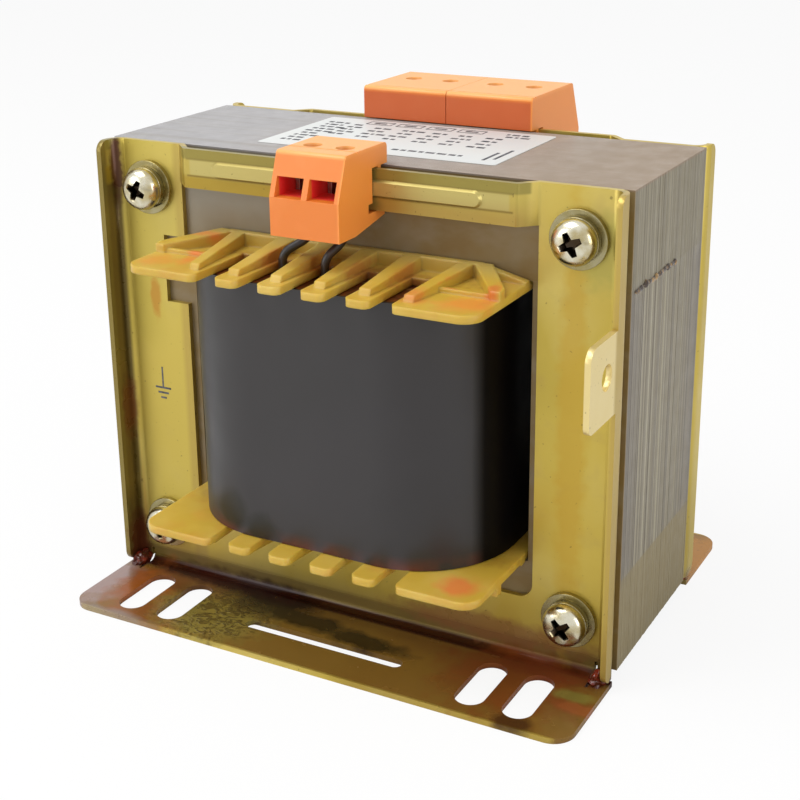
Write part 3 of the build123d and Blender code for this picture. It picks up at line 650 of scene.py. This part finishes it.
def finished_mesh(name, bm):
    """Turns a bmesh into a mesh and frees it."""
    mesh = bpy.data.meshes.new(name)
    bm.to_mesh(mesh)
    bm.free()
    return mesh


def placed_object(name, data):
    """An object in the scene's own collection."""
    placed = bpy.data.objects.new(name, data)
    bpy.context.scene.collection.objects.link(placed)
    return placed


def add_copy(bm, mesh, place):
    """Adds a mesh to a bmesh at its place."""
    start = len(bm.verts)
    bm.from_mesh(mesh)
    bm.verts.ensure_lookup_table()
    bmesh.ops.transform(bm, matrix=place, verts=bm.verts[start:])


def add_bar(bm, centre, size):
    """Adds a box by its centre and its size, both in metres."""
    bmesh.ops.create_cube(bm, size=1, matrix=Matrix.Translation(centre) @ Matrix.Diagonal((*size, 1)))


def extruded_verts(result):
    """The vertices that an extrusion made."""
    return [v for v in result["geom"] if isinstance(v, bmesh.types.BMVert)]


def new_piece(name, bm, material, replaced=(), sharp=35):
    """Turns a bmesh into a finished piece that rides on the part."""
    mesh = finished_mesh(name, bm)
    mesh.shade_smooth()
    mesh.set_sharp_from_angle(angle=math.radians(sharp))
    mesh.materials.append(material)
    piece = placed_object(name, mesh)
    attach(piece, BODY)
    if replaced:
        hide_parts(*replaced)
    return piece


def coat_node(name, material):
    """Gives a node its finish."""
    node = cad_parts[name]
    node.data.materials.clear()
    node.data.materials.append(material)
    return node


def dress_node(name, material, edge):
    """Gives a rigid node its finish and rounds its sharp edges."""
    node = coat_node(name, material)
    weld = node.modifiers.new("weld", "WELD")
    weld.merge_threshold = 0.002 * MM
    flat = node.modifiers.new("flat_faces", "DECIMATE")
    flat.decimate_type = "DISSOLVE"
    flat.angle_limit = math.radians(0.5)
    bevel = node.modifiers.new("edges", "BEVEL")
    bevel.width = edge
    bevel.segments = 2
    bevel.limit_method = "ANGLE"
    bevel.angle_limit = math.radians(32)
    bevel.harden_normals = True
    return node


def sheet_mesh(name, corners, hole_places, hole, thickness, edge):
    """One punched sheet, standing in X and Z with its front face at Y zero."""
    bm = bmesh.new()
    verts = [bm.verts.new((x, 0, z)) for x, z in corners]
    for a, b in zip(verts, verts[1:] + verts[:1]):
        bm.edges.new((a, b))
    for x, z in hole_places:
        place = Matrix.Translation((x, 0, z)) @ Matrix.Rotation(math.pi / 2, 4, "X")
        bmesh.ops.create_circle(bm, segments=8, radius=hole / 2, matrix=place)
    bmesh.ops.triangle_fill(bm, use_beauty=True, use_dissolve=True, edges=bm.edges[:])
    sides = bmesh.ops.extrude_face_region(bm, geom=bm.faces[:])
    bmesh.ops.translate(bm, verts=extruded_verts(sides), vec=(0, thickness, 0))
    bmesh.ops.recalc_face_normals(bm, faces=bm.faces)
    rims = [e for e in bm.edges if len(e.link_faces) == 2 and abs(e.verts[0].co.y - e.verts[1].co.y) < edge
            and e.calc_face_angle(0) > 1]
    bmesh.ops.bevel(bm, geom=rims, offset=edge, segments=1, profile=0.5, affect="EDGES", material=-1)
    return finished_mesh(name, bm)


def e_corners(core):
    """The outline of an E sheet with its yoke at the bottom, from the yoke's lower edge."""
    half = core.centre_leg / 2
    inner = half + core.window_width
    outer = inner + core.centre_leg / 2
    top = core.yoke + core.window_height
    right = [(outer, 0), (outer, top), (inner, top), (inner, core.yoke), (half, core.yoke), (half, top)]
    left = [(-x, z) for x, z in reversed(right)]
    return right + left


def i_corners(core):
    """The outline of an I sheet."""
    outer = core.centre_leg + core.window_width
    return [(-outer, 0), (outer, 0), (outer, core.yoke), (-outer, core.yoke)]


def carved(bodies, cutters):
    """The bodies with the cutters taken out of them, as one bmesh."""
    pair = []
    for name, bm in (("bodies", bodies), ("cutters", cutters)):
        bmesh.ops.recalc_face_normals(bm, faces=bm.faces)
        pair.append(placed_object(name, finished_mesh(name, bm)))
    cut = pair[0].modifiers.new("cut", "BOOLEAN")
    cut.operation = "DIFFERENCE"
    cut.solver = "EXACT"
    cut.object = pair[1]
    ready = pair[0].evaluated_get(bpy.context.evaluated_depsgraph_get())
    result = bmesh.new()
    result.from_mesh(ready.to_mesh())
    ready.to_mesh_clear()
    for piece in pair:
        mesh = piece.data
        bpy.data.objects.remove(piece)
        bpy.data.meshes.remove(mesh)
    return result


class TRANSFORMER_OT_core(bpy.types.Operator):
    """Builds every sheet of the core, laid alternately, and the varnish along its seams"""

    bl_idname = "transformer.core"
    bl_label = "Core sheets"

    def execute(self, context):
        settings = context.scene.chassis_transformer
        core = settings.core
        steel = core_steel(settings.colours)
        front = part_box("e_sheets_legs_up")[0].y
        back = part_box("e_sheets_legs_down")[1].y
        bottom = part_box("i_sheets_bottom")[1].z - core.yoke
        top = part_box("i_sheets_top")[1].z
        thickness = (back - front) / (core.packets * core.sheets)
        bolt_x = core.centre_leg + core.window_width - core.hole_inset
        hole_places = [(-bolt_x, core.hole_inset), (bolt_x, core.hole_inset)]
        e_sheet = sheet_mesh("e_sheet", e_corners(core), hole_places, core.hole, thickness, core.edge)
        far_holes = [(x, core.yoke - core.hole_inset) for x, z in hole_places]
        i_sheet = sheet_mesh("i_sheet", i_corners(core), far_holes, core.hole, thickness, core.edge)
        upright = Matrix.Identity(4)
        overturned = Matrix.Rotation(math.pi, 4, "Y")
        seam = core.yoke + core.window_height
        plan = {
            "e_sheets_legs_up": (0, e_sheet, upright, bottom),
            "i_sheets_top": (0, i_sheet, upright, bottom + seam),
            "e_sheets_legs_down": (1, e_sheet, overturned, top),
            "i_sheets_bottom": (1, i_sheet, overturned, top - seam),
        }
        for node, (parity, sheet, attitude, base) in plan.items():
            random.seed(node)
            bm = bmesh.new()
            for packet in range(parity, core.packets, 2):
                for i in range(core.sheets):
                    y = front + (packet * core.sheets + i) * thickness
                    shift = random.uniform(-core.wander, core.wander)
                    drop = random.uniform(0, core.wander / 3)
                    add_copy(bm, sheet, Matrix.Translation((shift, y, base - drop)) @ attitude)
            kind, side = node.split("_sheets_")
            new_piece(f"sheets_{kind}_{side}", bm, steel, [node])
        bpy.data.meshes.remove(e_sheet)
        bpy.data.meshes.remove(i_sheet)
        self.add_seam_varnish(core, seam_varnish(), bottom + seam)
        return {"FINISHED"}

    def add_seam_varnish(self, core, material, height):
        """Lays a lumpy bead of varnish along the seam on each side of the core."""
        low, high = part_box("e_sheets_legs_up")
        start = low.y + BEAD_MARGIN * MM
        end = low.y + BEAD_SHARE * (high.y - low.y)
        for side, name in ((-1, "left"), (1, "right")):
            bm = bmesh.new()
            bmesh.ops.create_cone(bm, cap_ends=True, segments=10, radius1=1, radius2=1, depth=end - start)
            along = [e for e in bm.edges if abs(e.verts[0].co.z - e.verts[1].co.z) > MM]
            bmesh.ops.subdivide_edges(bm, edges=along, cuts=70)
            for vert in bm.verts:
                y = vert.co.z + (start + end) / 2
                swell = 0.55 + 0.75 * noise.noise(Vector((side * 3, y / MM * 0.55, 0)))
                close = min(1, min(y - start, end - y) / (BEAD_TAPER * MM) + 0.15)
                size = max(0.12, swell) * close
                sag = noise.noise(Vector((side * 7, y / MM * 0.2, 4))) * 0.6 * MM
                x = side * high.x - vert.co.x * core.bead_proud * size
                z = height + sag + vert.co.y * core.bead_height / 2 * size
                vert.co = (x, y, z)
            bmesh.ops.recalc_face_normals(bm, faces=bm.faces)
            new_piece("seam_varnish_" + name, bm, material)


class TRANSFORMER_OT_frames(bpy.types.Operator):
    """Finishes the two pressed end frames and marks the earth sign on the front one"""

    bl_idname = "transformer.frames"
    bl_label = "End frames"

    def execute(self, context):
        settings = context.scene.chassis_transformer
        zinc = passivated_zinc(settings.colours)
        for name in ("front_frame", "rear_frame"):
            dress_node(name, zinc, settings.edges.pressing)
        self.add_earth_sign(label_ink(settings.colours))
        self.add_corner_varnish(corner_varnish())
        return {"FINISHED"}

    def add_corner_varnish(self, material):
        """Lumps of varnish that ran down each flange and set where it meets the foot."""
        bm = bmesh.new()
        for x, y in LUMP_PLACES:
            start = len(bm.verts)
            bmesh.ops.create_icosphere(bm, subdivisions=4, radius=1)
            bm.verts.ensure_lookup_table()
            for vert in bm.verts[start:]:
                vert.co *= 1 + 0.3 * noise.noise(vert.co * 2.2 + Vector((x, y, 0)))
                vert.co = (vert.co * Vector(LUMP_RADII) + Vector((x, y, LUMP_HEIGHT))) * MM
                vert.co.z = max(vert.co.z, LUMP_FLOOR * MM)
        new_piece("corner_varnish", bm, material)

    def add_earth_sign(self, material):
        """The stem and three bars of the earth sign, printed on the left strip."""
        bm = bmesh.new()
        for dx, dz, width, height in EARTH_BARS:
            centre = (Vector(EARTH_PLACE) + Vector((dx, 0, dz))) * MM
            add_bar(bm, centre, Vector((width, EARTH_INK, height)) * MM)
        new_piece("earth_sign", bm, material)


class TRANSFORMER_OT_bobbin(bpy.types.Operator):
    """Finishes the moulded bobbin"""

    bl_idname = "transformer.bobbin"
    bl_label = "Bobbin"

    def execute(self, context):
        settings = context.scene.chassis_transformer
        dress_node("bobbin", bobbin_nylon(settings.colours), settings.edges.moulding)
        return {"FINISHED"}


class TRANSFORMER_OT_coil(bpy.types.Operator):
    """Builds the outer wrap of the coil and finishes the windings inside it"""

    bl_idname = "transformer.coil"
    bl_label = "Coil"

    def execute(self, context):
        settings = context.scene.chassis_transformer
        copper = enamelled_copper(settings.colours)
        for name in ("primary_winding", "secondary_winding"):
            coat_node(name, copper)
        coat_node("winding_insulation", layer_tape())
        self.add_wrap(settings.coil, coil_wrap(settings.colours))
        return {"FINISHED"}

    def add_wrap(self, coil, material):
        """A rounded sleeve with an uneven face and a doubled end at the rear."""
        low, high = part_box("coil_wrap")
        bm = bmesh.new()
        bmesh.ops.create_grid(bm, x_segments=1, y_segments=1, size=0.5)
        bmesh.ops.scale(bm, vec=(high.x - low.x, high.y - low.y, 1), verts=bm.verts)
        bmesh.ops.translate(bm, vec=(0, 0, low.z), verts=bm.verts)
        bmesh.ops.bevel(bm, geom=bm.verts[:], offset=coil.wrap_corner, offset_type="OFFSET", segments=16,
                        profile=0.5, affect="VERTICES", material=-1)
        straight = [e for e in bm.edges if e.calc_length() > coil.wrap_corner]
        bmesh.ops.subdivide_edges(bm, edges=straight, cuts=24)
        side = bmesh.ops.extrude_edge_only(bm, edges=bm.edges[:])
        bmesh.ops.translate(bm, vec=(0, 0, high.z - low.z), verts=extruded_verts(side))
        bmesh.ops.delete(bm, geom=[f for f in bm.faces if abs(f.normal.z) > 0.5], context="FACES_ONLY")
        upright = [e for e in bm.edges if abs(e.verts[0].co.z - e.verts[1].co.z) > MM]
        bmesh.ops.subdivide_edges(bm, edges=upright, cuts=30)
        bm.normal_update()
        bmesh.ops.recalc_face_normals(bm, faces=bm.faces)
        for vert in bm.verts:
            wave = noise.noise(vert.co / (22 * MM)) + 0.4 * noise.noise(vert.co / (7 * MM))
            inset = coil.swell * (0.75 + 0.5 * wave)
            rear = vert.co.y > 0.4 * high.y and abs(vert.co.x) < coil.overlap / 2
            lift = coil.overlap_step if rear else 0
            vert.co -= vert.normal * max(0, inset - lift)
        bmesh.ops.solidify(bm, geom=bm.faces[:], thickness=coil.wrap_wall)
        bmesh.ops.recalc_face_normals(bm, faces=bm.faces)
        new_piece("outer_wrap", bm, material, ["coil_wrap"], sharp=50)


class TRANSFORMER_OT_fasteners(bpy.types.Operator):
    """Turns the four clamp bolts, cuts their recesses and finishes their washers and nuts"""

    bl_idname = "transformer.fasteners"
    bl_label = "Fasteners"

    def execute(self, context):
        settings = context.scene.chassis_transformer
        plating = zinc_plating(settings.colours)
        for name in ("front_flat_washers", "spring_washers", "rear_flat_washers", "hex_nuts"):
            dress_node(name, plating, settings.edges.turned)
        low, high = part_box("clamp_bolts")
        bolt = settings.bolt
        shape = self.bolt_mesh(bolt, high.y - low.y)
        bodies = bmesh.new()
        cutters = bmesh.new()
        for (x, z), lean in zip(BOLT_PLACES, BOLT_LEAN):
            place = Matrix.Translation((x * MM, low.y, z * MM)) @ Matrix.Rotation(math.pi / 2, 4, "X")
            place = place @ Matrix.Rotation(math.radians(lean), 4, "Z")
            add_copy(bodies, shape, place)
            self.add_cutter(cutters, bolt, place)
        bpy.data.meshes.remove(shape)
        new_piece("pan_head_bolts", carved(bodies, cutters), plating, ["clamp_bolts"])
        return {"FINISHED"}

    def bolt_mesh(self, bolt, reach):
        """One bolt, turned from its outline, with its head's top at zero and its shank downwards."""
        head, tall, shank = bolt.head / 2, bolt.head_height, bolt.shank / 2
        outline = [(0, 0), (0.35, -0.02), (0.62, -0.1), (0.83, -0.28), (0.94, -0.52), (1, -0.85), (0.97, -1)]
        points = [(r * head, z * tall) for r, z in outline]
        points.append((shank, -tall))
        core = shank - 0.6 * bolt.pitch
        for i in range(bolt.thread_turns, 0, -1):
            z = i * bolt.pitch - reach
            points += [(shank, z), (core, z - 0.5 * bolt.pitch)]
        points += [(core, -reach), (0, -reach)]
        bm = bmesh.new()
        verts = [bm.verts.new((r, 0, z)) for r, z in points]
        edges = [bm.edges.new(pair) for pair in zip(verts, verts[1:])]
        bmesh.ops.spin(bm, geom=verts + edges, axis=(0, 0, 1), cent=(0, 0, 0), angle=2 * math.pi, steps=40,
                       use_merge=True)
        bmesh.ops.remove_doubles(bm, verts=bm.verts[:], dist=0.01 * MM)
        bmesh.ops.recalc_face_normals(bm, faces=bm.faces)
        return finished_mesh("bolt", bm)

    def add_cutter(self, bm, bolt, place):
        """The cross-shaped punch of the recess, tapered towards its tip."""
        far, near = bolt.recess / 2, bolt.recess_width / 2
        quarter = [(far, -near), (far, near), (near * 1.5, near * 1.5)]
        levels = ((0.5 * MM, 1.06), (-bolt.recess_depth, 0.55))
        rings = []
        for z, share in levels:
            ring = []
            for turned in range(4):
                swing = Matrix.Rotation(turned * math.pi / 2, 4, "Z")
                for x, y in quarter:
                    ring.append(bm.verts.new(place @ swing @ Vector((x * share, y * share, z))))
            rings.append(ring)
        bm.faces.new(rings[0])
        bm.faces.new(rings[1][::-1])
        for i in range(12):
            j = (i + 1) % 12
            bm.faces.new((rings[0][j], rings[0][i], rings[1][i], rings[1][j]))


class TRANSFORMER_OT_terminals(bpy.types.Operator):
    """Finishes the three terminal blocks with their clamps and screws"""

    bl_idname = "transformer.terminals"
    bl_label = "Terminals"

    def execute(self, context):
        settings = context.scene.chassis_transformer
        plastic = terminal_polyamide(settings.colours)
        metal = clamp_plating(settings.colours)
        for block in ("front", "rear_left", "rear_right"):
            dress_node(block + "_terminal_housing", plastic, settings.edges.housing)
            for kind in ("clamps", "screws"):
                dress_node(block + "_terminal_" + kind, metal, settings.edges.turned)
        return {"FINISHED"}


class TRANSFORMER_OT_leads(bpy.types.Operator):
    """Finishes the six leads between the coil and the terminals"""

    bl_idname = "transformer.leads"
    bl_label = "Leads"

    def execute(self, context):
        settings = context.scene.chassis_transformer
        sleeve = lead_sleeve(settings.colours)
        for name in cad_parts:
            if "_lead_" in name:
                coat_node(name, sleeve)
        return {"FINISHED"}


class TRANSFORMER_OT_label(bpy.types.Operator):
    """Finishes the label and prints grey bars and boxes on it in place of words"""

    bl_idname = "transformer.label"
    bl_label = "Label"

    def execute(self, context):
        settings = context.scene.chassis_transformer
        dress_node("rating_label", label_film(settings.colours), 0.03 * MM)
        low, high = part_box("rating_label")
        centre = (low + high) / 2
        bm = bmesh.new()
        for x, y, width, depth in self.printed_bars():
            middle = (centre.x + x * MM, centre.y + y * MM, high.z)
            add_bar(bm, middle, Vector((width, depth, PRINT_INK)) * MM)
        new_piece("label_print", bm, label_ink(settings.colours))
        return {"FINISHED"}

    def printed_bars(self):
        """Centre and size of each bar in millimetres, in the blocks that print fills on such labels."""
        random.seed("label rows")
        bars = []
        boxes = [(-17 + 9.5 * i, 16.2, 7.5, 3.6) for i in range(4)] + [(-5, -15.4, 5, 3.4)]
        for x, y, width, depth in boxes:
            for side in (-1, 1):
                bars.append((x, y + side * depth / 2, width, 0.6))
                bars.append((x + side * width / 2, y, 0.45, depth))
            bars.append((x, y, 0.5 * width, 1.3))
        rows = [(-32, -25, 13 - 3.3 * i) for i in range(9)]
        rows += [(-24, -19, 12 - 3.3 * i) for i in range(5)]
        rows += [(start, start + 6, 9.8 - 4 * i) for i in range(4) for start in (-15.5, -7, 2, 10, 18.5)]
        rows += [(2, 24, -13.6), (21, 30, 16.6), (22, 30, 13.6)]
        for start, end, y in rows:
            x = start + random.uniform(0, 1)
            while x < end - 1:
                width = random.uniform(0.9, 2.6)
                bars.append((x + width / 2, y, width, 1.5))
                x += width + 0.7
        for x, start, end in ((29.8, -16, -6), (32, -14, -2)):
            bars.append((x, (start + end) / 2, 0.9, end - start))
        return bars


class TRANSFORMER_OT_stage(bpy.types.Operator):
    """Sets up the floor, the soft light and the camera"""

    bl_idname = "transformer.stage"
    bl_label = "Stage"

    def execute(self, context):
        stage = context.scene.chassis_transformer.stage
        self.add_floor()
        self.add_camera(context.scene, stage)
        self.add_light("key_light", stage.key_power, (-0.35, -0.35, 1.05), 0.7)
        self.add_light("fill_light", stage.fill_power, (-0.8, -0.9, 0.4), 0.6)
        self.add_light("side_light", stage.side_power, (1.0, -0.3, 0.35), 0.6)
        self.add_surroundings(context.scene, stage.ambient)
        context.scene.view_settings.view_transform = "Standard"
        return {"FINISHED"}

    def add_floor(self):
        """A wide white floor that shows the object's shadow."""
        bm = bmesh.new()
        bmesh.ops.create_circle(bm, cap_ends=True, segments=96, radius=FLOOR_RADIUS)
        floor = placed_object("floor", finished_mesh("floor", bm))
        material = bpy.data.materials.new("matt_white_floor")
        material.use_nodes = True
        tree = material.node_tree
        tree.nodes.clear()
        seen = add_node(tree, "ShaderNodeLightPath").outputs["Is Camera Ray"]
        matt = add_node(tree, "ShaderNodeBsdfDiffuse", {"Color": hex_colour("#F0F0F0")})
        glow = add_node(tree, "ShaderNodeEmission", {"Color": (1, 1, 1, 1), "Strength": 1.0})
        share = remap(seen, 0, 1, 0, FLOOR_GLOW)
        parts = {0: share, 1: matt.outputs[0], 2: glow.outputs[0]}
        mixed = add_node(tree, "ShaderNodeMixShader", None, parts)
        add_node(tree, "ShaderNodeOutputMaterial", None, {"Surface": mixed.outputs[0]})
        floor.data.materials.append(material)

    def add_camera(self, scene, stage):
        """The camera of the photograph."""
        flat = math.cos(stage.elevation)
        back = Vector((math.sin(stage.azimuth) * flat, -math.cos(stage.azimuth) * flat, 0))
        back.z = math.sin(stage.elevation)
        level = Vector((math.cos(stage.azimuth), math.sin(stage.azimuth), 0))
        upright = back.cross(level)
        right = math.cos(stage.roll) * level + math.sin(stage.roll) * upright
        up = math.cos(stage.roll) * upright - math.sin(stage.roll) * level
        aim = Vector((stage.aim_x, 0, stage.aim_height))
        data = bpy.data.cameras.new("camera")
        data.lens = stage.lens
        data.sensor_width = 36
        data.shift_y = stage.shift
        data.clip_start = 0.01
        data.clip_end = 100
        camera = placed_object("camera", data)
        turned = Matrix((right, up, back)).transposed().to_4x4()
        camera.matrix_world = Matrix.Translation(aim + back * stage.distance) @ turned
        scene.camera = camera

    def add_light(self, name, power, place, size):
        """A square soft box that faces the object."""
        data = bpy.data.lights.new(name, "AREA")
        data.energy = power
        data.size = size
        light = placed_object(name, data)
        light.location = place
        towards = Vector(LIGHT_AIM) - Vector(place)
        light.rotation_mode = "QUATERNION"
        light.rotation_quaternion = towards.to_track_quat("-Z", "Y")

    def add_surroundings(self, scene, ambient):
        """An even room, white to the camera and to reflections."""
        world = bpy.data.worlds.new("pale_room")
        world.use_nodes = True
        tree = world.node_tree
        tree.nodes.clear()
        path = add_node(tree, "ShaderNodeLightPath").outputs
        bright = path["Is Camera Ray"]
        for name in ("Is Glossy Ray", "Is Transmission Ray"):
            either = {0: bright, 1: path[name]}
            bright = add_node(tree, "ShaderNodeMath", {"operation": "MAXIMUM"}, either).outputs[0]
        strength = remap(bright, 0, 1, ambient, 1.0)
        room = add_node(tree, "ShaderNodeBackground", {"Color": (1, 1, 1, 1)}, {"Strength": strength})
        add_node(tree, "ShaderNodeOutputWorld", None, {"Surface": room.outputs[0]})
        scene.world = world


class TRANSFORMER_PT_pieces(bpy.types.Panel):
    """Lists the operators and the main settings in the sidebar"""

    bl_idname = "TRANSFORMER_PT_pieces"
    bl_label = "Chassis transformer"
    bl_space_type = "VIEW_3D"
    bl_region_type = "UI"
    bl_category = "Transformer"

    def draw(self, context):
        for operator in OPERATORS:
            self.layout.operator(operator.bl_idname)
        settings = context.scene.chassis_transformer
        for part in TransformerSettings.__annotations__:
            group = getattr(settings, part)
            box = self.layout.box()
            for name in group.__annotations__:
                box.prop(group, name)


OPERATORS = (
    TRANSFORMER_OT_core,
    TRANSFORMER_OT_frames,
    TRANSFORMER_OT_bobbin,
    TRANSFORMER_OT_coil,
    TRANSFORMER_OT_fasteners,
    TRANSFORMER_OT_terminals,
    TRANSFORMER_OT_leads,
    TRANSFORMER_OT_label,
    TRANSFORMER_OT_stage,
)
GROUPS = (
    CoreSettings,
    CoilSettings,
    BoltSettings,
    EdgeSettings,
    ColourSettings,
    StageSettings,
    TransformerSettings,
)


def register():
    """Registers the settings, the operators and the panel."""
    for item in (*GROUPS, *OPERATORS, TRANSFORMER_PT_pieces):
        bpy.utils.register_class(item)
    bpy.types.Scene.chassis_transformer = PointerProperty(type=TransformerSettings)


def unregister():
    """Takes them out again."""
    del bpy.types.Scene.chassis_transformer
    for item in reversed((*GROUPS, *OPERATORS, TRANSFORMER_PT_pieces)):
        bpy.utils.unregister_class(item)


def main():
    """Builds every piece in order."""
    register()
    bpy.ops.transformer.core()
    bpy.ops.transformer.frames()
    bpy.ops.transformer.bobbin()
    bpy.ops.transformer.coil()
    bpy.ops.transformer.fasteners()
    bpy.ops.transformer.terminals()
    bpy.ops.transformer.leads()
    bpy.ops.transformer.label()
    bpy.ops.transformer.stage()
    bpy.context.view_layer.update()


if __name__ == "__main__":
    main()
